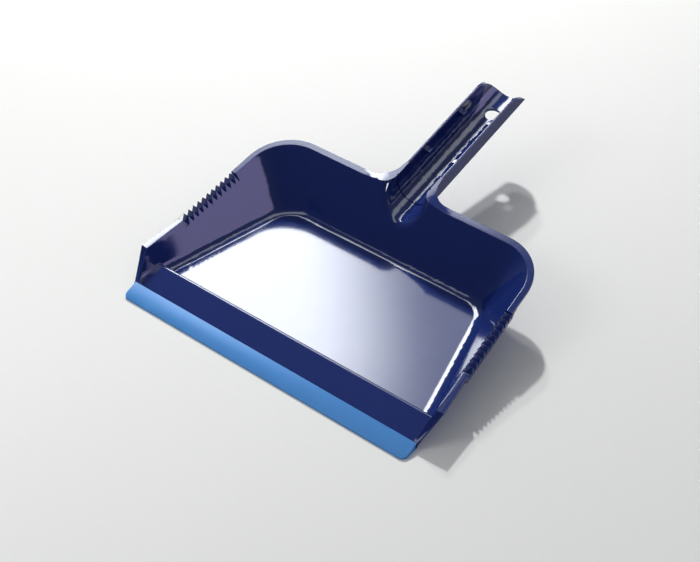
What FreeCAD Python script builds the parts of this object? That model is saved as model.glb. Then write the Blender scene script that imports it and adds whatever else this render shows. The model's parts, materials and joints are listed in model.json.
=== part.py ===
import FreeCAD, Part
import math
import os

# Dust pan with a soft front lip. Millimetres, +Z up, X along the lip, Y from the lip to the handle.
# The outlines below are drawn with Y = 0 at the lip edge and Z = 0 on the floor the pan rests on;
# the finished pieces are moved back so that the origin is under the middle of the pan floor.
ORIGIN_Y = 88.0

# pan floor and walls
FLOOR_TOP = 2.5
FOOT_BACK_Y = 139.0
FOOT_BACK_HALF = 83.7
FOOT_TAPER = 0.2488
FOOT_CORNER_R = 22.0
FOOT_COVE_R = 9.0
FOOT_SKIN = 1.0
RIM_BACK_Y = 160.0
RIM_BACK_Z = 43.1
RIM_BACK_HALF = 110.0
RIM_TAPER = 0.0592
RIM_CORNER_R = 30.0
RIM_SLOPE = 0.176
RIM_SKIN = 2.3
RIM_BEND_Y = 60.0
RIM_FRONT_SLOPE = 0.1
WALL_SHARE = 1.35
FRONT_REACH = -20.0
CAVITY_SHARE = 1.6
CLEAR_ABOVE = 2.0

# flange round the rim
FLANGE_W = 5.0
FLANGE_SIDE_W = 3.8
FLANGE_T = 2.0
FLANGE_FRONT_Y = 29.0
SHOULDER_RISE = 1.44
SHOULDER_IN = 15.0
SHOULDER_OUT = 38.0
GUSSET_R = 15.0
GUSSET_HALF = 15.6

# handle channel, sections measured from the top of its rims
CHANNEL_START_Y = 135.0
CHANNEL_END_Y = 300.0
CHANNEL_R = 13.3
CHANNEL_SIDE = 5.7
CHANNEL_WALL = 2.0
ENTRY_BLEND_R = 8.0
CREST_R = 1.1
SKIRT_START_Y = 172.0
SKIRT_OUT = 17.8
SKIRT_DROP = 8.0
SKIRT_T = 1.7
END_CENTRE_Y = 262.0
END_CENTRE_Z = 46.0
END_LENGTH = 29.8
END_HEIGHT = 18.5
SEAM_Y = 171.0
SEAM_W = 1.2
SEAM_DEEP = 0.7

# clips for a brush handle and the hang hole
CLIP_YS = (205.0, 247.5)
CLIP_INNER = 9.3
CLIP_LONG = 4.0
CLIP_TOP = 3.4
CLIP_TALL = 3.6
HOLE_Y = 270.0
HOLE_R = 5.5

# combs in the side flanges
COMB_FIRST_Y = 64.7
COMB_TEETH = 11
COMB_PITCH = 4.53
COMB_FLAT = 3.0
COMB_DEEP = 4.6
COMB_BODY = 6.6
COMB_RAMP = 3.0
GROOVE_FLOOR = 0.6
GROOVE_SHARE = 0.46

# ramp and crest behind the lip
PLATE_FRONT_Y = 8.0
PLATE_FRONT_Z = (1.2, 2.6)
CREST_Y = 32.6
CREST_Z = 9.0
CREST_TOP_W = 1.0
STEP_END_Y = 37.6
UNDER_Y = 30.5
UNDER_Z = 6.4
WALL_TOE = (12.0, 3.0)
WALL_NOSE = (29.0, 22.7)
TOE_HALF = (113.4, 116.2)

# soft lip
LIP_HALF = 115.0
LIP_BACK_HALF = 116.0
LIP_DEPTH = 12.8
LIP_EDGE_T = 1.2
LIP_BACK_T = 4.9
LIP_CORNER_R = 4.0

RIM_ANGLE = math.atan(RIM_SLOPE)
BIG = 400.0


def vec(x, y, z):
    return FreeCAD.Vector(x, y, z)


def plane_z(y):
    """Height of the plane that the back part of the rim and the handle follow."""
    return RIM_BACK_Z + RIM_SLOPE * (y - RIM_BACK_Y)


def rim_z(y):
    """Height of the top of the flange; it is flatter in front of the bend."""
    if y >= RIM_BEND_Y:
        return plane_z(y)
    return plane_z(RIM_BEND_Y) + RIM_FRONT_SLOPE * (y - RIM_BEND_Y)


def crest_z(y):
    return plane_z(y) + SHOULDER_RISE


def wall_half(y):
    """Half width between the side walls at the top of the rim."""
    foot = FOOT_BACK_HALF + FOOT_TAPER * (FOOT_BACK_Y - y)
    rim = RIM_BACK_HALF + RIM_TAPER * (RIM_BACK_Y - y)
    share = (rim_z(y) - FLOOR_TOP) / (plane_z(y) - FLOOR_TOP)
    return between(foot, rim, share)


def rounded_outline(points, radii):
    """Closed wire through the points, with an arc of the given radius at each corner (0 for sharp)."""
    edges = []
    count = len(points)
    starts = []
    ends = []
    arcs = []
    for i in range(count):
        here = points[i]
        before = (points[i - 1] - here).normalize()
        after = (points[(i + 1) % count] - here).normalize()
        if radii[i] == 0:
            starts.append(here)
            ends.append(here)
            arcs.append(None)
            continue
        half = before.getAngle(after) / 2
        run = radii[i] / math.tan(half)
        start = here + before * run
        end = here + after * run
        centre = here + (before + after).normalize() * (radii[i] / math.sin(half))
        middle = centre + (here - centre).normalize() * radii[i]
        starts.append(start)
        ends.append(end)
        arcs.append(Part.Arc(start, middle, end).toShape())
    for i in range(count):
        if arcs[i]:
            edges.append(arcs[i])
        edges.append(Part.makeLine(ends[i], starts[(i + 1) % count]))
    return Part.Wire(edges)


def polygon_face(points):
    return Part.Face(Part.makePolygon(points + [points[0]]))


def side_prism(points, half):
    """Solid from (y, z) points, reaching from x = -half to x = +half."""
    return polygon_face([vec(-half, y, z) for y, z in points]).extrude(vec(2 * half, 0, 0))


def between(foot, rim, share):
    return foot + (rim - foot) * share


def wall_wire(share, foot_z, skin):
    """Outline of the pan walls: share 0 is the foot, 1 the rim, more than 1 runs on above the rim."""
    foot_front = FOOT_BACK_HALF + FOOT_TAPER * (FOOT_BACK_Y - FRONT_REACH)
    rim_front = RIM_BACK_HALF + RIM_TAPER * (RIM_BACK_Y - FRONT_REACH)
    front = between(foot_front, rim_front, share) + skin
    back = between(FOOT_BACK_HALF, RIM_BACK_HALF, share) + skin
    back_y = between(FOOT_BACK_Y, RIM_BACK_Y, share) + skin
    back_z = between(foot_z, RIM_BACK_Z, share)
    rise = back_z - between(foot_z, plane_z(FRONT_REACH), share)
    run = back_y - FRONT_REACH
    far = -math.hypot(run, rise)
    points = [vec(-front, far, 0), vec(front, far, 0), vec(back, 0, 0), vec(-back, 0, 0)]
    radius = between(FOOT_CORNER_R, RIM_CORNER_R, share) + skin
    wire = rounded_outline(points, [0, 0, radius, radius])
    wire.rotate(vec(0, 0, 0), vec(1, 0, 0), math.degrees(math.atan2(rise, run)))
    wire.translate(vec(0, back_y, back_z))
    return wire


def pan_outer():
    skin = between(FOOT_SKIN, RIM_SKIN, WALL_SHARE)
    return Part.makeLoft([wall_wire(0, 0, FOOT_SKIN), wall_wire(WALL_SHARE, 0, skin)], True, True)


def pan_cavity():
    wires = [wall_wire(0, FLOOR_TOP, 0), wall_wire(CAVITY_SHARE, FLOOR_TOP, 0)]
    hollow = Part.makeLoft(wires, True, True)
    foot_edges = []
    for edge in hollow.Edges:
        box = edge.BoundBox
        if abs(box.ZMax - FLOOR_TOP) < 0.01 and box.YMax > FRONT_REACH + 0.1:
            foot_edges.append(edge)
    return hollow.makeFillet(FOOT_COVE_R, foot_edges)


def channel_face(radius, top, y):
    """Upright U section of the handle channel at y; top is how far it reaches above the crest."""
    z = crest_z(y)
    low = z - CHANNEL_SIDE
    right = Part.makeLine(vec(radius, y, low), vec(radius, y, z + top))
    bridge = Part.makeLine(vec(radius, y, z + top), vec(-radius, y, z + top))
    left = Part.makeLine(vec(-radius, y, z + top), vec(-radius, y, low))
    bottom = Part.Arc(vec(-radius, y, low), vec(0, y, low - radius), vec(radius, y, low)).toShape()
    return Part.Face(Part.Wire([right, bridge, left, bottom]))


def along_handle(face, start, end):
    length = end - start
    return face.extrude(vec(0, length, RIM_SLOPE * length))


def channel_outer():
    face = channel_face(CHANNEL_R + CHANNEL_WALL, -CREST_R, CHANNEL_START_Y)
    return along_handle(face, CHANNEL_START_Y, CHANNEL_END_Y)


def joined_hollow():
    """Pan and channel hollows as one, rounded where the channel breaks through the back wall."""
    face = channel_face(CHANNEL_R, 4 * CLEAR_ABOVE, CHANNEL_START_Y)
    channel = along_handle(face, CHANNEL_START_Y, CHANNEL_END_Y)
    y = 2 * FRONT_REACH
    z = crest_z(y) + CLEAR_ABOVE
    above = side_prism([(y, z), (BIG, z + RIM_SLOPE * (BIG - y)), (BIG, BIG), (y, BIG)], BIG / 2)
    hollow = channel.fuse(pan_cavity()).cut(above).removeSplitter()
    entry = []
    for edge in hollow.Edges:
        box = edge.BoundBox
        inside = abs(edge.CenterOfMass.x) < CHANNEL_R + 0.1 and box.YMin > FOOT_BACK_Y + 5
        level = box.ZMax - box.ZMin < 0.1
        if inside and not level and box.YMax < RIM_BACK_Y + 20:
            entry.append(edge)
    return hollow.makeFillet(ENTRY_BLEND_R, entry)


def handle_rim(sign):
    """Rolled rim of the channel: a round crest with a skirt that slopes out and down."""
    y = SKIRT_START_Y
    z = crest_z(y)
    inner = CHANNEL_R
    crest_mid = inner + CREST_R
    crest_out = inner + 2 * CREST_R
    points = [
        vec(sign * inner, y, z - CREST_R),
        vec(sign * crest_out, y, z - CREST_R),
        vec(sign * SKIRT_OUT, y, z - SKIRT_DROP),
        vec(sign * (SKIRT_OUT - SKIRT_T), y, z - SKIRT_DROP),
        vec(sign * (CHANNEL_R + 1), y, z - CREST_R - SKIRT_T),
        vec(sign * (CHANNEL_R + 1), y, z - SKIRT_DROP),
        vec(sign * inner, y, z - SKIRT_DROP),
    ]
    arch = Part.Arc(points[0], vec(sign * crest_mid, y, z), points[1]).toShape()
    edges = [arch]
    for i in range(1, len(points)):
        edges.append(Part.makeLine(points[i], points[(i + 1) % len(points)]))
    return along_handle(Part.Face(Part.Wire(edges)), y, CHANNEL_END_Y)


def flange_plan():
    """Plan of the flange: rim ring, gussets and a tongue up the handle, all filled in."""
    back_y = RIM_BACK_Y + FLANGE_W
    back_half = RIM_BACK_HALF + FLANGE_SIDE_W
    bend_half = wall_half(RIM_BEND_Y) + FLANGE_SIDE_W
    front_half = wall_half(FLANGE_FRONT_Y) + FLANGE_W
    tongue_y = back_y + GUSSET_R + 4
    points = [
        vec(front_half, FLANGE_FRONT_Y, 0),
        vec(bend_half, RIM_BEND_Y, 0),
        vec(back_half, back_y, 0),
        vec(GUSSET_HALF + 2.5, back_y, 0),
        vec(GUSSET_HALF - 0.6, tongue_y, 0),
    ]
    radii = [0, 0, RIM_CORNER_R + FLANGE_SIDE_W, GUSSET_R, 0]
    points += [vec(-p.x, p.y, 0) for p in reversed(points)]
    radii += list(reversed(radii))
    return Part.Face(rounded_outline(points, radii)).extrude(vec(0, 0, BIG))


def shoulder_curve(sign, y, z):
    """Smooth S from the rim plane up to the crest of the handle."""
    third = (SHOULDER_OUT - SHOULDER_IN) / 3
    curve = Part.BezierCurve()
    curve.setPoles([
        vec(sign * SHOULDER_OUT, y, z),
        vec(sign * (SHOULDER_OUT - 1.4 * third), y, z),
        vec(sign * (SHOULDER_IN + 1.2 * third), y, z + SHOULDER_RISE),
        vec(sign * SHOULDER_IN, y, z + SHOULDER_RISE),
    ])
    return curve.toShape()


def rim_slab(low, high, start, end, slope):
    """Slab between two depths under the rim surface; near the handle it climbs a shoulder."""
    top = rim_z(end) - slope * (end - start)
    reach = BIG / 2
    edges = []
    for z in (top + high, top + low):
        step = z + SHOULDER_RISE
        edges.append(shoulder_curve(1, start, z))
        edges.append(shoulder_curve(-1, start, z))
        edges.append(Part.makeLine(vec(-SHOULDER_IN, start, step), vec(SHOULDER_IN, start, step)))
        edges.append(Part.makeLine(vec(SHOULDER_OUT, start, z), vec(reach, start, z)))
        edges.append(Part.makeLine(vec(-reach, start, z), vec(-SHOULDER_OUT, start, z)))
    for x in (-reach, reach):
        edges.append(Part.makeLine(vec(x, start, top + high), vec(x, start, top + low)))
    outline = Part.Wire(Part.__sortEdges__(edges))
    length = end - start
    return Part.Face(outline).extrude(vec(0, length, slope * length))


def under_rim():
    """Everything below the top of the flange, to the floor and past the handle."""
    back = rim_slab(-BIG, 0, RIM_BEND_Y, CHANNEL_END_Y, RIM_SLOPE)
    front = side_prism([
        (RIM_BEND_Y, rim_z(RIM_BEND_Y)),
        (RIM_BEND_Y, -BIG),
        (FRONT_REACH, -BIG),
        (FRONT_REACH, rim_z(FRONT_REACH)),
    ], BIG / 2)
    return back, front


def flange():
    """Flat rim flange; in front of the bend its slab follows the flatter rim."""
    plan = flange_plan()
    back = rim_slab(-FLANGE_T, 0, RIM_BEND_Y, CHANNEL_END_Y, RIM_SLOPE)
    y = FLANGE_FRONT_Y - 2
    front = side_prism([
        (RIM_BEND_Y, rim_z(RIM_BEND_Y)),
        (RIM_BEND_Y, rim_z(RIM_BEND_Y) - FLANGE_T),
        (y, rim_z(y) - FLANGE_T),
        (y, rim_z(y)),
    ], BIG / 2)
    return back.common(plan), front.common(plan)


def comb_span():
    start = COMB_FIRST_Y - COMB_FLAT
    end = COMB_FIRST_Y + (COMB_TEETH - 0.1) * COMB_PITCH
    return start, end


def comb_body(sign):
    """Thick strip under the side flange that the comb is cut in."""
    start, end = comb_span()
    start -= 1.5
    end += 1.5
    outline = (
        (start, 0.2),
        (end, 0.2),
        (end + COMB_RAMP, 1.0),
        (end, COMB_BODY),
        (start, COMB_BODY),
        (start - COMB_RAMP, 1.0),
    )
    strip = side_prism([(y, rim_z(y) - drop) for y, drop in outline], BIG / 2)
    near = start - COMB_RAMP
    far = end + COMB_RAMP
    plan = []
    for y, wide in ((near, 0), (far, 0), (far, 1), (near, 1)):
        plan.append(vec(sign * (wall_half(y) - 0.5 + wide * (FLANGE_SIDE_W + 0.5)), y, 0))
    return strip.common(polygon_face(plan).extrude(vec(0, 0, BIG)))


def groove(top_start, low_start, low_end, top_end):
    """Groove across both side flanges, from its four Y positions."""
    lift = 1.0
    points = [
        (top_start, rim_z(top_start) + lift),
        (top_start, rim_z(top_start)),
        (low_start, rim_z(low_start) - COMB_DEEP),
        (low_end, rim_z(low_end) - COMB_DEEP),
        (top_end, rim_z(top_end)),
        (top_end, rim_z(top_end) + lift),
    ]
    return side_prism(points, BIG / 2)


def comb_grooves():
    """Grooves that leave the comb teeth; the first is wide and flat, the last is cut off square."""
    start, end = comb_span()
    half = GROOVE_FLOOR / 2
    wide = COMB_PITCH * GROOVE_SHARE
    grooves = [groove(start, start + half, COMB_FIRST_Y + half, COMB_FIRST_Y + wide)]
    for i in range(1, COMB_TEETH):
        y = COMB_FIRST_Y + i * COMB_PITCH
        grooves.append(groove(y - wide, y - half, y + half, y + wide))
    last = COMB_FIRST_Y + COMB_TEETH * COMB_PITCH
    grooves.append(groove(last - wide, end - half, end, end))
    return grooves


def front_trim():
    """Everything in front of the slanting front edge of the side walls."""
    slope = (WALL_NOSE[1] - WALL_TOE[1]) / (WALL_NOSE[0] - WALL_TOE[0])
    far = WALL_NOSE[0] + 40
    points = [
        (-BIG / 4, -5),
        (WALL_TOE[0], -5),
        WALL_TOE,
        WALL_NOSE,
        (far, WALL_NOSE[1] + slope * 40),
        (-BIG / 4, WALL_NOSE[1] + slope * 40),
    ]
    return side_prism(points, BIG / 2)


def ramp():
    """Plate from the lip up to the crest, with the step down to the pan floor behind it."""
    points = [
        (PLATE_FRONT_Y, PLATE_FRONT_Z[0]),
        (PLATE_FRONT_Y, PLATE_FRONT_Z[1]),
        (CREST_Y - CREST_TOP_W, CREST_Z - 0.1),
        (CREST_Y, CREST_Z),
        (CREST_Y + CREST_TOP_W, CREST_Z - 0.4),
        (STEP_END_Y, FLOOR_TOP),
        (STEP_END_Y, 0),
        (UNDER_Y + 1.5, 0),
        (UNDER_Y, UNDER_Z),
    ]
    plate = side_prism(points, BIG / 2)
    sides = polygon_face([
        vec(-TOE_HALF[0], PLATE_FRONT_Y, 0),
        vec(TOE_HALF[0], PLATE_FRONT_Y, 0),
        vec(TOE_HALF[0], WALL_TOE[0], 0),
        vec(BIG / 2, WALL_TOE[0], 0),
        vec(BIG / 2, BIG / 2, 0),
        vec(-BIG / 2, BIG / 2, 0),
        vec(-BIG / 2, WALL_TOE[0], 0),
        vec(-TOE_HALF[0], WALL_TOE[0], 0),
    ]).extrude(vec(0, 0, BIG))
    return plate.common(sides).common(pan_outer())


def under_ramp():
    """Hollow under the ramp plate, between the side walls."""
    drop = (UNDER_Z - PLATE_FRONT_Z[0]) / (UNDER_Y - PLATE_FRONT_Y)
    front = FRONT_REACH
    low = PLATE_FRONT_Z[0] - drop * (PLATE_FRONT_Y - front)
    back = UNDER_Y + 1.5
    points = [(front, low), (UNDER_Y, UNDER_Z), (back, 0), (back, -BIG / 8), (front, -BIG / 8)]
    inset = 1.0
    plan = []
    for sign, y in ((-1, front), (1, front), (1, UNDER_Y + 2), (-1, UNDER_Y + 2)):
        half = FOOT_BACK_HALF + FOOT_TAPER * (FOOT_BACK_Y - y) - inset
        plan.append(vec(sign * half, y, -BIG / 4))
    return side_prism(points, BIG / 2).common(polygon_face(plan).extrude(vec(0, 0, BIG)))


def wing(sign):
    """Flange turned down the front edge of a side wall, narrowing to the corner of the lip."""
    y0, z0 = WALL_TOE
    y1, z1 = WALL_NOSE
    inner = wall_half(y1)
    toe = [
        vec(sign * TOE_HALF[0], y0, z0 - 1.4),
        vec(sign * TOE_HALF[1], y0, z0 - 1.4),
        vec(sign * TOE_HALF[1], y0, z0 + 0.6),
        vec(sign * TOE_HALF[0], y0, z0 + 0.6),
    ]
    nose = [
        vec(sign * inner, y1, z1 - FLANGE_T),
        vec(sign * (inner + FLANGE_W), y1, z1 - FLANGE_T),
        vec(sign * (inner + FLANGE_W), y1, rim_z(y1)),
        vec(sign * inner, y1, rim_z(y1)),
    ]
    wires = [Part.makePolygon(ring + [ring[0]]) for ring in (toe, nose)]
    return Part.makeLoft(wires, True, True)


def clip(sign, y):
    """Small hook on the channel wall, facing the middle."""
    z = crest_z(y) - CLIP_TOP
    points = [
        vec(sign * (CHANNEL_R + 0.5), y, z),
        vec(sign * CLIP_INNER, y, z - 1.2),
        vec(sign * CLIP_INNER, y, z - 2.2),
        vec(sign * (CHANNEL_R + 0.5), y, z - CLIP_TALL - 1.5),
    ]
    block = polygon_face(points).extrude(vec(0, CLIP_LONG, RIM_SLOPE * CLIP_LONG))
    block.translate(vec(0, -CLIP_LONG / 2, -RIM_SLOPE * CLIP_LONG / 2))
    return block


def seam_groove():
    """Shallow groove across the channel and both gussets where the handle meets the pan."""
    section = channel_face(CHANNEL_R + SEAM_DEEP, CREST_R, SEAM_Y - SEAM_W / 2)
    return along_handle(section, SEAM_Y - SEAM_W / 2, SEAM_Y + SEAM_W / 2)


def handle_end_trim():
    """What lies outside the rounded end of the handle, seen from the side."""
    keep = Part.Ellipse(vec(0, END_CENTRE_Y, END_CENTRE_Z), END_LENGTH, END_HEIGHT).toShape()
    face = Part.Face(Part.Wire([keep]))
    face.rotate(vec(0, END_CENTRE_Y, END_CENTRE_Z), vec(0, 0, 1), 90)
    face.rotate(vec(0, END_CENTRE_Y, END_CENTRE_Z), vec(0, 1, 0), 90)
    face.translate(vec(-BIG / 2, 0, 0))
    block = Part.makeBox(BIG, BIG, BIG, vec(-BIG / 2, END_CENTRE_Y, 0))
    below = Part.makeBox(BIG, END_LENGTH, END_CENTRE_Z, vec(-BIG / 2, END_CENTRE_Y, 0))
    return block.cut(face.extrude(vec(BIG, 0, 0))).cut(below)


def hang_hole():
    z = crest_z(HOLE_Y) - CHANNEL_SIDE - CHANNEL_R
    axis = vec(0, -math.sin(RIM_ANGLE), math.cos(RIM_ANGLE))
    return Part.makeCylinder(HOLE_R, 20, vec(0, HOLE_Y, z) - axis * 10, axis)


def pan_body():
    hollow = joined_hollow()
    back, front = under_rim()
    walls = pan_outer()
    shell = walls.common(back).fuse([walls.common(front), channel_outer()] + list(flange()))
    shell = shell.fuse([comb_body(1), comb_body(-1), handle_rim(1), handle_rim(-1)])
    shell = shell.cut(hollow)
    shell = shell.cut([front_trim(), under_ramp(), seam_groove()] + comb_grooves())
    shell = shell.cut(handle_end_trim())
    extras = [ramp(), wing(1), wing(-1)]
    for y in CLIP_YS:
        extras += [clip(1, y), clip(-1, y)]
    return shell.fuse(extras).cut(hang_hole()).removeSplitter()


def lip(body):
    """Soft strip that wraps the front edge of the ramp plate."""
    section = [
        (0, 0),
        (0, LIP_EDGE_T),
        (LIP_DEPTH - 0.8, LIP_BACK_T),
        (LIP_DEPTH, LIP_BACK_T - 0.5),
        (LIP_DEPTH, 0),
    ]
    plan = [
        vec(-LIP_HALF, 0, 0),
        vec(LIP_HALF, 0, 0),
        vec(LIP_BACK_HALF, LIP_DEPTH, 0),
        vec(-LIP_BACK_HALF, LIP_DEPTH, 0),
    ]
    radii = [LIP_CORNER_R, LIP_CORNER_R, 0, 0]
    outline = Part.Face(rounded_outline(plan, radii)).extrude(vec(0, 0, BIG / 8))
    return side_prism(section, BIG / 2).common(outline).cut(body)


def main_solid(shape):
    return max(shape.Solids, key=lambda solid: solid.Volume)


def save(name, shape):
    shape.translate(vec(0, -ORIGIN_Y, 0))
    shape.exportStep("parts/" + name + ".step")


os.makedirs("parts", exist_ok=True)
body = main_solid(pan_body())
strip = main_solid(lip(body))
save("dustpan_body", body)
save("soft_lip", strip)
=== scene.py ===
import json
import math

import bpy
from bpy.props import FloatProperty, FloatVectorProperty, PointerProperty
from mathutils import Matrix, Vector

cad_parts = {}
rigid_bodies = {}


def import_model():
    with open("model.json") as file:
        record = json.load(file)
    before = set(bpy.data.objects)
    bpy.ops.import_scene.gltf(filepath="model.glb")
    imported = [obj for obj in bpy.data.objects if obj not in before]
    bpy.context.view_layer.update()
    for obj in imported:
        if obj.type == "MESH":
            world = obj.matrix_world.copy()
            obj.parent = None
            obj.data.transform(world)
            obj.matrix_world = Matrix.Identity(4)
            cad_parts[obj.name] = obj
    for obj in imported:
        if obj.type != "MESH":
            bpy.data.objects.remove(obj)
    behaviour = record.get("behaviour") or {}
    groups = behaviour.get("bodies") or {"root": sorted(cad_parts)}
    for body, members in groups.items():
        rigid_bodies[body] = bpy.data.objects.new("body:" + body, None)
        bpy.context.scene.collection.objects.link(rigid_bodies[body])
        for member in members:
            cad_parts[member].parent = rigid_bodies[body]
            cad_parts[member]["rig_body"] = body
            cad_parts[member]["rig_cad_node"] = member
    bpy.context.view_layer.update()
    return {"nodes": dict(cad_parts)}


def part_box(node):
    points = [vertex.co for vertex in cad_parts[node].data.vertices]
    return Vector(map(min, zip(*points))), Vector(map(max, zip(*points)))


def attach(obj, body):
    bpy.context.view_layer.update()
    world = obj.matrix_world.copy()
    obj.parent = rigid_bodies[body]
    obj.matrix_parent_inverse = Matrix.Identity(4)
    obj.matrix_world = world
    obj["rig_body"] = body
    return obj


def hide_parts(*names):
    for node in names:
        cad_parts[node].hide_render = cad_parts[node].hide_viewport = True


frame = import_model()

bl_info = {
    "name": "Dust Pan",
    "version": (1, 0, 0),
    "blender": (4, 5, 0),
    "location": "View3D > Sidebar > Dust Pan",
    "description": "Finishes a moulded dust pan with a soft lip and sets a plain studio around it",
    "category": "Object",
}

MM = 0.001
BODY_NODE = "dustpan_body"
LIP_NODE = "soft_lip"
LIP_LOW, LIP_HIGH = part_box(LIP_NODE)

FLAT_ANGLE = math.radians(0.3)   # faces that turn less than this are one flat face
SHARP_ANGLE = math.radians(42)   # edges of the moulding sharper than this are rounded
LIP_SHARP_ANGLE = math.radians(40)
SMOOTH_ANGLE = math.radians(45)
NORMAL_WEIGHT = 60               # over 50, so that the large faces keep their own direction

# the foot of the handle, where the seam groove leaves no room for a rounded edge
SEAM_HALF = 24 * MM
SEAM_START = 58 * MM
SEAM_END = 112 * MM
SHORT_EDGE = 0.4 * MM

FLOOR_SIZE = 14
CAMERA_SENSOR = 36
CAMERA_NEAR = 0.01
CAMERA_FAR = 50

# lamps: name, point aimed at, direction from that point, distance
LAMPS = (
    ("key lamp", (0, 0, 0.01), (-0.452, 0.557, 0.696), 1.5),
    ("second lamp", (0, 0, 0.01), (-0.50, 0.60, 0.62), 1.5),
    ("front lamp", (-0.20, -0.24, 0), (-0.2, -0.3, 0.93), 0.55),
)
SECOND_SHARE = 0.25
FRONT_SIZE = 0.30

# panels that only the gloss mirrors. Each has the direction of its centre, a direction along it, where
# it starts and ends along and up (as slopes from the centre line), and the softness of those edges.
BEHIND = (-0.4624, 0.4465, 0.766)
BEHIND_ALONG = (0.695, 0.719, 0)
PANEL = (BEHIND, BEHIND_ALONG, (-0.36, -0.40), (0.12, -0.01), (0.05, 0.045))
PANEL_SPILL = (BEHIND, BEHIND_ALONG, (-0.36, -0.40), (0.40, 0.09), (0.05, 0.045))
PANEL_HEAD = (BEHIND, BEHIND_ALONG, (-0.11, 0.02), (0.06, 0.13), (0.04, 0.03))
TOP_STRIP = ((-0.02, 0.1, 1), (0.66, 0.75, 0), (-0.75, -0.12), (0.80, 0.14), (0.08, 0.05))
SIDE_PANEL = ((0.805, 0.577, 0.152), (0.58, -0.81, 0), (-0.60, -0.30), (0.60, 0.45), (0.10, 0.05))
SPILL_SHARE = 0.15
HEAD_SHARE = 0.30
ROOM_TURN = 0.5                  # the room goes from dark to light within this of straight across
NEAR_EDGE_ON = 0.05
FILL_COLOUR = "#eef2f5"
SIDE_COLOUR = "#d2c8ff"


def linear(code):
    """An sRGB hex colour as linear RGB."""
    channels = [int(code[i:i + 2], 16) / 255 for i in (1, 3, 5)]
    return tuple(c / 12.92 if c <= 0.04045 else ((c + 0.055) / 1.055) ** 2.4 for c in channels)


# ---------------------------------------------------------------- settings


class PanSettings(bpy.types.PropertyGroup):
    """Sizes and colour of the moulded pan."""

    colour: FloatVectorProperty(
        name="Pan colour", description="Pigment of the moulded polypropylene",
        subtype="COLOR", size=3, min=0, max=1, default=linear("#1a2b69"))
    edge_round: FloatProperty(
        name="Edge rounding", description="Radius left on the outer edges by the mould",
        unit="LENGTH", min=0, default=0.35 * MM)
    merge: FloatProperty(
        name="Merge distance", description="Points closer than this become one",
        unit="LENGTH", min=0, default=0.002 * MM)


class LipSettings(bpy.types.PropertyGroup):
    """Sizes and colour of the soft lip."""

    colour: FloatVectorProperty(
        name="Lip colour", description="Pigment of the thermoplastic elastomer",
        subtype="COLOR", size=3, min=0, max=1, default=linear("#3b7cbd"))
    edge_height: FloatProperty(
        name="Edge height", description="Height of the lip at its front edge",
        unit="LENGTH", min=0, default=1.2 * MM)
    corner: FloatProperty(
        name="Corner radius", description="Radius of the two front corners in plan",
        unit="LENGTH", min=0, default=4.0 * MM)
    edge_round: FloatProperty(
        name="Edge rounding", description="Radius along the edges of the strip",
        unit="LENGTH", min=0, default=0.35 * MM)
    clean: FloatProperty(
        name="Clean distance", description="Points left closer than this by the slot's cut become one",
        unit="LENGTH", min=0, default=0.02 * MM)


class StageSettings(bpy.types.PropertyGroup):
    """Camera, light and floor."""

    camera_place: FloatVectorProperty(
        name="Camera place", description="Where the camera stands",
        subtype="TRANSLATION", unit="LENGTH", size=3, default=(0.3993, -0.5123, 0.6315))
    camera_turn: FloatVectorProperty(
        name="Camera turn", description="Camera rotation about X, Y and Z",
        subtype="EULER", unit="ROTATION", size=3,
        default=(math.radians(90 - 43.48), 0, math.radians(37.34)))
    camera_lens: FloatProperty(
        name="Lens", description="Focal length on a 36 mm sensor", unit="CAMERA", default=69.35)
    floor_colour: FloatVectorProperty(
        name="Floor colour", description="Matt paper under the pan",
        subtype="COLOR", size=3, min=0, max=1, default=linear("#eeeeeb"))
    key_power: FloatProperty(
        name="Key power", description="Power of the lamp behind the pan", unit="POWER", default=14)
    key_size: FloatProperty(
        name="Key size", description="Side of the two lamps behind the pan",
        unit="LENGTH", default=0.06)
    front_power: FloatProperty(
        name="Front power", description="Power of the soft lamp before the lip",
        unit="POWER", default=0.9)
    fill: FloatProperty(
        name="Fill", description="Strength of the even light from all round", default=0.36)
    backdrop: FloatProperty(
        name="Backdrop", description="Extra brightness of the plain wall behind the floor",
        default=0.35)
    room_front: FloatProperty(
        name="Dark room", description="Strength of what the gloss mirrors on the camera's side",
        default=0.08)
    panel_strength: FloatProperty(
        name="Panel", description="Brightness of the large panel that the gloss mirrors", default=20)
    side_strength: FloatProperty(
        name="Side panel", description="Brightness of the low panel at the right", default=3.6)
    top_strength: FloatProperty(
        name="Top strip", description="Brightness of the long strip overhead", default=3.5)


# ---------------------------------------------------------------- helpers


def pick(obj):
    """Makes obj the only selected and active object, in object mode."""
    if bpy.context.object and bpy.context.object.mode != "OBJECT":
        bpy.ops.object.mode_set(mode="OBJECT")
    bpy.ops.object.select_all(action="DESELECT")
    obj.select_set(True)
    bpy.context.view_layer.objects.active = obj


def edit(obj, select):
    """Goes into edit mode with all or none of obj selected."""
    pick(obj)
    bpy.ops.object.mode_set(mode="EDIT")
    bpy.ops.mesh.select_all(action="SELECT" if select else "DESELECT")


def edit_points(obj, wanted):
    """Goes into edit mode with the points selected whose place passes a test."""
    edit(obj, False)
    bpy.ops.mesh.select_mode(type="VERT")
    bpy.ops.object.mode_set(mode="OBJECT")
    for vertex in obj.data.vertices:
        vertex.select = wanted(vertex.co)
    bpy.ops.object.mode_set(mode="EDIT")


def edit_edges(obj, wanted):
    """Goes into edit mode with the edges selected whose two ends pass a test."""
    edit(obj, False)
    bpy.ops.mesh.select_mode(type="EDGE")
    bpy.ops.object.mode_set(mode="OBJECT")
    for edge in obj.data.edges:
        a, b = (obj.data.vertices[i].co for i in edge.vertices)
        edge.select = wanted(a, b)
    bpy.ops.object.mode_set(mode="EDIT")


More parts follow.
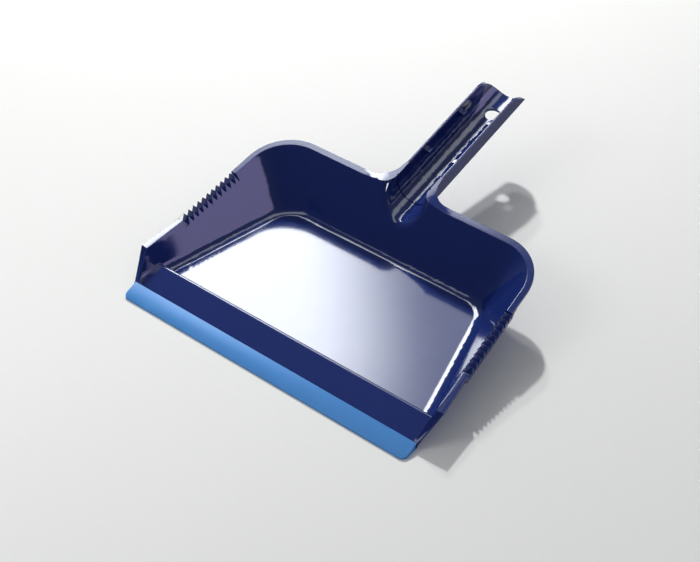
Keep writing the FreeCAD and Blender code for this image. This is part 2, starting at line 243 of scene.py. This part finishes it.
def finish_with(obj, kind, **settings):
    """Adds one modifier to obj and applies it."""
    pick(obj)
    modifier = obj.modifiers.new(kind.title(), kind)
    for name, value in settings.items():
        setattr(modifier, name, value)
    bpy.ops.object.modifier_apply(modifier=modifier.name)


def settle(obj, name, material):
    """Names a finished piece, gives it its material and lets it ride on the frame."""
    pick(obj)
    bpy.ops.object.transform_apply(location=True, rotation=True, scale=True)
    obj.name = name
    obj.data.name = name
    obj.data.materials.clear()
    obj.data.materials.append(material)
    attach(obj, "root")


def add_node(tree, kind, values=None, links=None, **settings):
    """Adds one node with its settings, its input values and its links."""
    node = tree.nodes.new(kind)
    for name, value in settings.items():
        setattr(node, name, value)
    for name, value in (values or {}).items():
        node.inputs[name].default_value = value
    for name, output in (links or {}).items():
        tree.links.new(output, node.inputs[name])
    return node


def new_material(name):
    """A material with its shader and a point in object coordinates."""
    material = bpy.data.materials.new(name)
    material.use_nodes = True
    tree = material.node_tree
    shader = tree.nodes["Principled BSDF"]
    place = add_node(tree, "ShaderNodeTexCoord").outputs["Object"]
    return material, tree, shader, place


# ---------------------------------------------------------------- materials


def moulded_polypropylene(colour):
    """Polypropylene from a polished mould: a clear gloss with slow waves and faint handling marks."""
    material, tree, shader, place = new_material("moulded polypropylene")
    # sink and flow of the melt, about 25 mm across, shifts the pigment a little
    flow = add_node(tree, "ShaderNodeTexNoise", {"Scale": 1 / 0.025, "Detail": 2}, {"Vector": place})
    tint = add_node(tree, "ShaderNodeMapRange", {"To Min": 0.92, "To Max": 1.08},
                    {"Value": flow.outputs["Fac"]})
    pigment = add_node(tree, "ShaderNodeMix", {"Factor": 1.0, 6: (*colour, 1)},
                       {7: tint.outputs["Result"]}, data_type="RGBA", blend_type="MULTIPLY")
    tree.links.new(pigment.outputs[2], shader.inputs["Base Color"])
    # fine marks from wiping, 0.4 mm wide and 12 mm long
    stretch = add_node(tree, "ShaderNodeMapping", {"Rotation": (0, 0, 0.5), "Scale": (1, 0.04, 1)},
                       {"Vector": place})
    marks = add_node(tree, "ShaderNodeTexNoise", {"Scale": 1 / 0.0008, "Detail": 3, "Roughness": 0.6},
                     {"Vector": stretch.outputs["Vector"]})
    gloss = add_node(tree, "ShaderNodeMapRange",
                     {"From Min": 0.35, "From Max": 0.75, "To Min": 0.07, "To Max": 0.14},
                     {"Value": marks.outputs["Fac"]})
    tree.links.new(gloss.outputs["Result"], shader.inputs["Roughness"])
    # orange peel, 3 mm across and a few thousandths of a millimetre high
    peel = add_node(tree, "ShaderNodeTexNoise", {"Scale": 1 / 0.003, "Detail": 1}, {"Vector": place})
    bump = add_node(tree, "ShaderNodeBump", {"Strength": 0.25, "Distance": 0.01 * MM},
                    {"Height": peel.outputs["Fac"]})
    tree.links.new(bump.outputs["Normal"], shader.inputs["Normal"])
    shader.inputs["IOR"].default_value = 1.49
    return material


def soft_elastomer(colour):
    """Thermoplastic elastomer: rubbery, with a low sheen and a fine matt grain."""
    material, tree, shader, place = new_material("thermoplastic elastomer")
    cloud = add_node(tree, "ShaderNodeTexNoise", {"Scale": 1 / 0.018, "Detail": 3}, {"Vector": place})
    tint = add_node(tree, "ShaderNodeMapRange", {"To Min": 0.93, "To Max": 1.07},
                    {"Value": cloud.outputs["Fac"]})
    pigment = add_node(tree, "ShaderNodeMix", {"Factor": 1.0, 6: (*colour, 1)},
                       {7: tint.outputs["Result"]}, data_type="RGBA", blend_type="MULTIPLY")
    tree.links.new(pigment.outputs[2], shader.inputs["Base Color"])
    # spark-eroded grain of the mould, 0.5 mm
    grain = add_node(tree, "ShaderNodeTexNoise", {"Scale": 1 / 0.0005, "Detail": 2}, {"Vector": place})
    sheen = add_node(tree, "ShaderNodeMapRange", {"To Min": 0.38, "To Max": 0.52},
                     {"Value": cloud.outputs["Fac"]})
    tree.links.new(sheen.outputs["Result"], shader.inputs["Roughness"])
    bump = add_node(tree, "ShaderNodeBump", {"Strength": 0.4, "Distance": 0.02 * MM},
                    {"Height": grain.outputs["Fac"]})
    tree.links.new(bump.outputs["Normal"], shader.inputs["Normal"])
    shader.inputs["IOR"].default_value = 1.5
    return material


def matt_paper(colour):
    """Background paper: matt, with a faint mottle."""
    material, tree, shader, place = new_material("background paper")
    mottle = add_node(tree, "ShaderNodeTexNoise", {"Scale": 1 / 0.2, "Detail": 2}, {"Vector": place})
    tint = add_node(tree, "ShaderNodeMapRange", {"To Min": 0.985, "To Max": 1.015},
                    {"Value": mottle.outputs["Fac"]})
    shade = add_node(tree, "ShaderNodeMix", {"Factor": 1.0, 6: (*colour, 1)},
                     {7: tint.outputs["Result"]}, data_type="RGBA", blend_type="MULTIPLY")
    tree.links.new(shade.outputs[2], shader.inputs["Base Color"])
    shader.inputs["Roughness"].default_value = 0.9
    shader.inputs["Specular IOR Level"].default_value = 0.2
    return material


# ---------------------------------------------------------------- pieces


def merged_copy(name, distance):
    """A copy of a CAD node with its loose triangles joined, left in edit mode."""
    node = frame["nodes"][name]
    if node.hide_viewport or node.hide_get():
        raise RuntimeError(name + " is hidden already, so it cannot be copied")
    pick(node)
    bpy.ops.object.duplicate()
    copy = bpy.context.object
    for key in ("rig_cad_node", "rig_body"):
        if key in copy:
            del copy[key]
    copy.parent = None
    edit(copy, True)
    bpy.ops.mesh.customdata_custom_splitnormals_clear()
    bpy.ops.mesh.remove_doubles(threshold=distance)
    return copy


def clean(obj, distance):
    """Joins points that a cut or a bevel left on top of each other, and edges on flat faces go."""
    edit(obj, True)
    bpy.ops.mesh.remove_doubles(threshold=distance)
    bpy.ops.mesh.dissolve_degenerate(threshold=distance)
    bpy.ops.mesh.dissolve_limited(angle_limit=FLAT_ANGLE)
    bpy.ops.object.mode_set(mode="OBJECT")


def near_seam(point):
    """Whether a point is at the handle's foot, near the seam groove."""
    return abs(point.x) < SEAM_HALF and SEAM_START < point.y < SEAM_END


def choose_flats(pan):
    """Selects all faces but those around the seam."""
    bpy.ops.mesh.select_mode(type="FACE")
    bpy.ops.object.mode_set(mode="OBJECT")
    for face in pan.data.polygons:
        face.select = not near_seam(face.center)
    bpy.ops.object.mode_set(mode="EDIT")


def choose_outer_edges(pan):
    """Selects the sharp edges that the mould leaves round, but none around the seam."""
    bpy.ops.mesh.select_mode(type="EDGE")
    bpy.ops.mesh.select_all(action="DESELECT")
    bpy.ops.mesh.edges_select_sharp(sharpness=SHARP_ANGLE)
    bpy.ops.object.mode_set(mode="OBJECT")
    for edge in pan.data.edges:
        if edge.select:
            a, b = (pan.data.vertices[i].co for i in edge.vertices)
            edge.select = not near_seam(a) and not near_seam(b) and (a - b).length > SHORT_EDGE
    bpy.ops.object.mode_set(mode="EDIT")


class OBJECT_OT_dustpan_body(bpy.types.Operator):
    """Finish the moulded pan: one closed skin with rounded edges, in gloss polypropylene"""

    bl_idname = "object.dustpan_body"
    bl_label = "Moulded Pan"

    def execute(self, context):
        sizes = context.scene.dustpan_body
        pan = merged_copy(BODY_NODE, sizes.merge)
        choose_flats(pan)
        bpy.ops.mesh.dissolve_limited(angle_limit=FLAT_ANGLE)
        choose_outer_edges(pan)
        bpy.ops.mesh.bevel(offset=sizes.edge_round, segments=2, affect="EDGES", clamp_overlap=False)
        bpy.ops.object.mode_set(mode="OBJECT")
        bpy.ops.object.shade_smooth_by_angle(angle=SMOOTH_ANGLE)
        finish_with(pan, "WEIGHTED_NORMAL", mode="FACE_AREA_WITH_ANGLE",
                    weight=NORMAL_WEIGHT, keep_sharp=True)
        settle(pan, "pan", moulded_polypropylene(sizes.colour))
        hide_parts(BODY_NODE)
        return {"FINISHED"}


def lower_front(lip, height):
    """Brings the upper front edge down, which makes the block a wedge of that height in front."""
    front = LIP_LOW.y + MM
    edit_points(lip, lambda place: place.y < front and place.z > LIP_LOW.z + MM)
    bpy.ops.transform.translate(value=(0, 0, LIP_LOW.z + height - LIP_HIGH.z))
    bpy.ops.object.mode_set(mode="OBJECT")


def round_corners(lip, radius):
    """Rounds the two upright front corners."""
    front = LIP_LOW.y + MM
    edit_edges(lip, lambda a, b: max(a.y, b.y) < front and abs(a.x - b.x) < MM)
    bpy.ops.mesh.bevel(offset=radius, segments=8, affect="EDGES")
    bpy.ops.object.mode_set(mode="OBJECT")


def cut_slot(lip, merge):
    """Takes the ramp's front edge out of the strip, which leaves the slot that grips it."""
    ramp = merged_copy(BODY_NODE, merge)
    bpy.ops.object.mode_set(mode="OBJECT")
    finish_with(lip, "BOOLEAN", operation="DIFFERENCE", solver="EXACT", object=ramp)
    pick(ramp)
    bpy.ops.object.delete()


class OBJECT_OT_dustpan_lip(bpy.types.Operator):
    """Model the soft lip: a wedge strip with round front corners that grips the ramp"""

    bl_idname = "object.dustpan_lip"
    bl_label = "Soft Lip"

    def execute(self, context):
        sizes = context.scene.dustpan_lip
        bpy.ops.object.select_all(action="DESELECT")
        bpy.ops.mesh.primitive_cube_add(size=1, location=(LIP_LOW + LIP_HIGH) / 2)
        lip = context.object
        lip.scale = LIP_HIGH - LIP_LOW
        bpy.ops.object.transform_apply(location=True, rotation=True, scale=True)
        lower_front(lip, sizes.edge_height)
        round_corners(lip, sizes.corner)
        cut_slot(lip, context.scene.dustpan_body.merge)
        clean(lip, sizes.clean)
        finish_with(lip, "BEVEL", width=sizes.edge_round, segments=3, limit_method="ANGLE",
                    angle_limit=LIP_SHARP_ANGLE)
        clean(lip, sizes.clean / 2)
        bpy.ops.object.shade_smooth_by_angle(angle=LIP_SHARP_ANGLE)
        settle(lip, "lip", soft_elastomer(sizes.colour))
        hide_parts(LIP_NODE)
        return {"FINISHED"}


# ---------------------------------------------------------------- stage


def add_lamp(name, aim, toward, far, power, size):
    """A square lamp at a distance from the point it is aimed at, kept out of the gloss."""
    away = Vector(toward).normalized()
    bpy.ops.object.light_add(type="AREA", location=Vector(aim) + away * far)
    light = bpy.context.object
    light.name = name
    light.rotation_mode = "QUATERNION"
    light.rotation_quaternion = away.to_track_quat("Z", "Y")
    light.visible_glossy = False
    light.data.shape = "SQUARE"
    light.data.size = size
    light.data.energy = power


def math_node(tree, operation, first, second):
    """A math node's result for two values, each a number or another node's output."""
    node = add_node(tree, "ShaderNodeMath", operation=operation)
    for socket, value in zip(node.inputs, (first, second)):
        if isinstance(value, (int, float)):
            socket.default_value = value
        else:
            tree.links.new(value, socket)
    return node.outputs["Value"]


def panel_mask(tree, toward, centre, along, start, end, blur):
    """1 where a direction meets a rectangular panel, 0 outside it, with soft edges."""
    axis = Vector(centre).normalized()
    side = (Vector(along) - axis * axis.dot(Vector(along))).normalized()
    depth, across, up = (
        add_node(tree, "ShaderNodeVectorMath", {1: line}, {0: toward},
                 operation="DOT_PRODUCT").outputs["Value"]
        for line in (axis, side, side.cross(axis)))
    mask = math_node(tree, "GREATER_THAN", depth, NEAR_EDGE_ON)
    for low, high, soft, extent in zip(start, end, blur, (across, up)):
        slope = math_node(tree, "DIVIDE", extent, depth)
        away = math_node(tree, "ABSOLUTE", math_node(tree, "SUBTRACT", slope, (low + high) / 2), 0)
        reach = (high - low) / 2
        edge = add_node(tree, "ShaderNodeMapRange", {
            "From Min": reach - soft, "From Max": reach + soft, "To Min": 1, "To Max": 0,
        }, {"Value": away}, interpolation_type="SMOOTHSTEP")
        mask = math_node(tree, "MULTIPLY", mask, edge.outputs["Result"])
    return mask


def studio_world(stage):
    """Even fill for matt light, and bright panels in a darker room that only the gloss sees."""
    world = bpy.data.worlds.new("studio")
    world.use_nodes = True
    tree = world.node_tree
    background = tree.nodes["Background"]
    toward = add_node(tree, "ShaderNodeTexCoord").outputs["Generated"]
    rays = add_node(tree, "ShaderNodeLightPath").outputs
    glossy = rays["Is Glossy Ray"]
    depth = add_node(tree, "ShaderNodeSeparateXYZ", links={0: toward}).outputs["Y"]
    room = add_node(tree, "ShaderNodeMapRange", {
        "From Min": -ROOM_TURN, "From Max": ROOM_TURN,
        "To Min": stage.room_front, "To Max": stage.fill,
    }, {"Value": depth})
    seen = room.outputs["Result"]
    panels = (
        (PANEL, stage.panel_strength),
        (PANEL_SPILL, stage.panel_strength * SPILL_SHARE),
        (PANEL_HEAD, stage.panel_strength * HEAD_SHARE),
        (TOP_STRIP, stage.top_strength),
        (SIDE_PANEL, stage.side_strength),
    )
    for panel, strength in panels:
        mask = panel_mask(tree, toward, *panel)
        seen = math_node(tree, "ADD", seen, math_node(tree, "MULTIPLY", mask, strength))
    # the last mask is that of the side panel, which is the only coloured one
    tint = add_node(tree, "ShaderNodeMix", {6: (*linear(FILL_COLOUR), 1), 7: (*linear(SIDE_COLOUR), 1)},
                    {"Factor": mask}, data_type="RGBA")
    tree.links.new(tint.outputs[2], background.inputs["Color"])
    shown = math_node(tree, "MULTIPLY", seen, glossy)
    matt = math_node(tree, "MULTIPLY", math_node(tree, "SUBTRACT", 1, glossy), stage.fill)
    wall = math_node(tree, "MULTIPLY", rays["Is Camera Ray"], stage.backdrop)
    light = math_node(tree, "ADD", math_node(tree, "ADD", shown, matt), wall)
    tree.links.new(light, background.inputs["Strength"])
    return world


class SCENE_OT_dustpan_stage(bpy.types.Operator):
    """Set the plain studio: pale floor, lamps, panels for the gloss and the camera"""

    bl_idname = "scene.dustpan_stage"
    bl_label = "Studio"

    def execute(self, context):
        stage = context.scene.dustpan_stage
        bpy.ops.object.select_all(action="DESELECT")
        bpy.ops.mesh.primitive_plane_add(size=FLOOR_SIZE, location=(0, 0, 0))
        floor = context.object
        floor.name = "floor"
        floor.data.materials.append(matt_paper(stage.floor_colour))
        powers = (
            (stage.key_power, stage.key_size),
            (stage.key_power * SECOND_SHARE, stage.key_size),
            (stage.front_power, FRONT_SIZE),
        )
        for lamp, (power, size) in zip(LAMPS, powers):
            add_lamp(*lamp, power, size)
        context.scene.world = studio_world(stage)
        bpy.ops.object.camera_add(location=stage.camera_place, rotation=stage.camera_turn)
        camera = context.object
        camera.name = "camera"
        camera.data.sensor_width = CAMERA_SENSOR
        camera.data.lens = stage.camera_lens
        camera.data.clip_start = CAMERA_NEAR
        camera.data.clip_end = CAMERA_FAR
        context.scene.camera = camera
        context.scene.view_settings.view_transform = "Standard"
        return {"FINISHED"}


class VIEW3D_PT_dustpan(bpy.types.Panel):
    """Lists the pieces of the dust pan and the studio"""

    bl_idname = "VIEW3D_PT_dustpan"
    bl_label = "Dust Pan"
    bl_space_type = "VIEW_3D"
    bl_region_type = "UI"
    bl_category = "Dust Pan"

    def draw(self, context):
        scene = context.scene
        groups = (
            (OBJECT_OT_dustpan_body, scene.dustpan_body),
            (OBJECT_OT_dustpan_lip, scene.dustpan_lip),
            (SCENE_OT_dustpan_stage, scene.dustpan_stage),
        )
        for operator, settings in groups:
            box = self.layout.box()
            for name in settings.__annotations__:
                box.prop(settings, name)
            box.operator(operator.bl_idname)


CLASSES = (
    PanSettings,
    LipSettings,
    StageSettings,
    OBJECT_OT_dustpan_body,
    OBJECT_OT_dustpan_lip,
    SCENE_OT_dustpan_stage,
    VIEW3D_PT_dustpan,
)


def register():
    for cls in CLASSES:
        bpy.utils.register_class(cls)
    bpy.types.Scene.dustpan_body = PointerProperty(type=PanSettings)
    bpy.types.Scene.dustpan_lip = PointerProperty(type=LipSettings)
    bpy.types.Scene.dustpan_stage = PointerProperty(type=StageSettings)


def unregister():
    del bpy.types.Scene.dustpan_stage
    del bpy.types.Scene.dustpan_lip
    del bpy.types.Scene.dustpan_body
    for cls in reversed(CLASSES):
        bpy.utils.unregister_class(cls)


def main():
    register()
    bpy.ops.scene.dustpan_stage()
    bpy.ops.object.dustpan_lip()
    bpy.ops.object.dustpan_body()


if __name__ == "__main__":
    main()
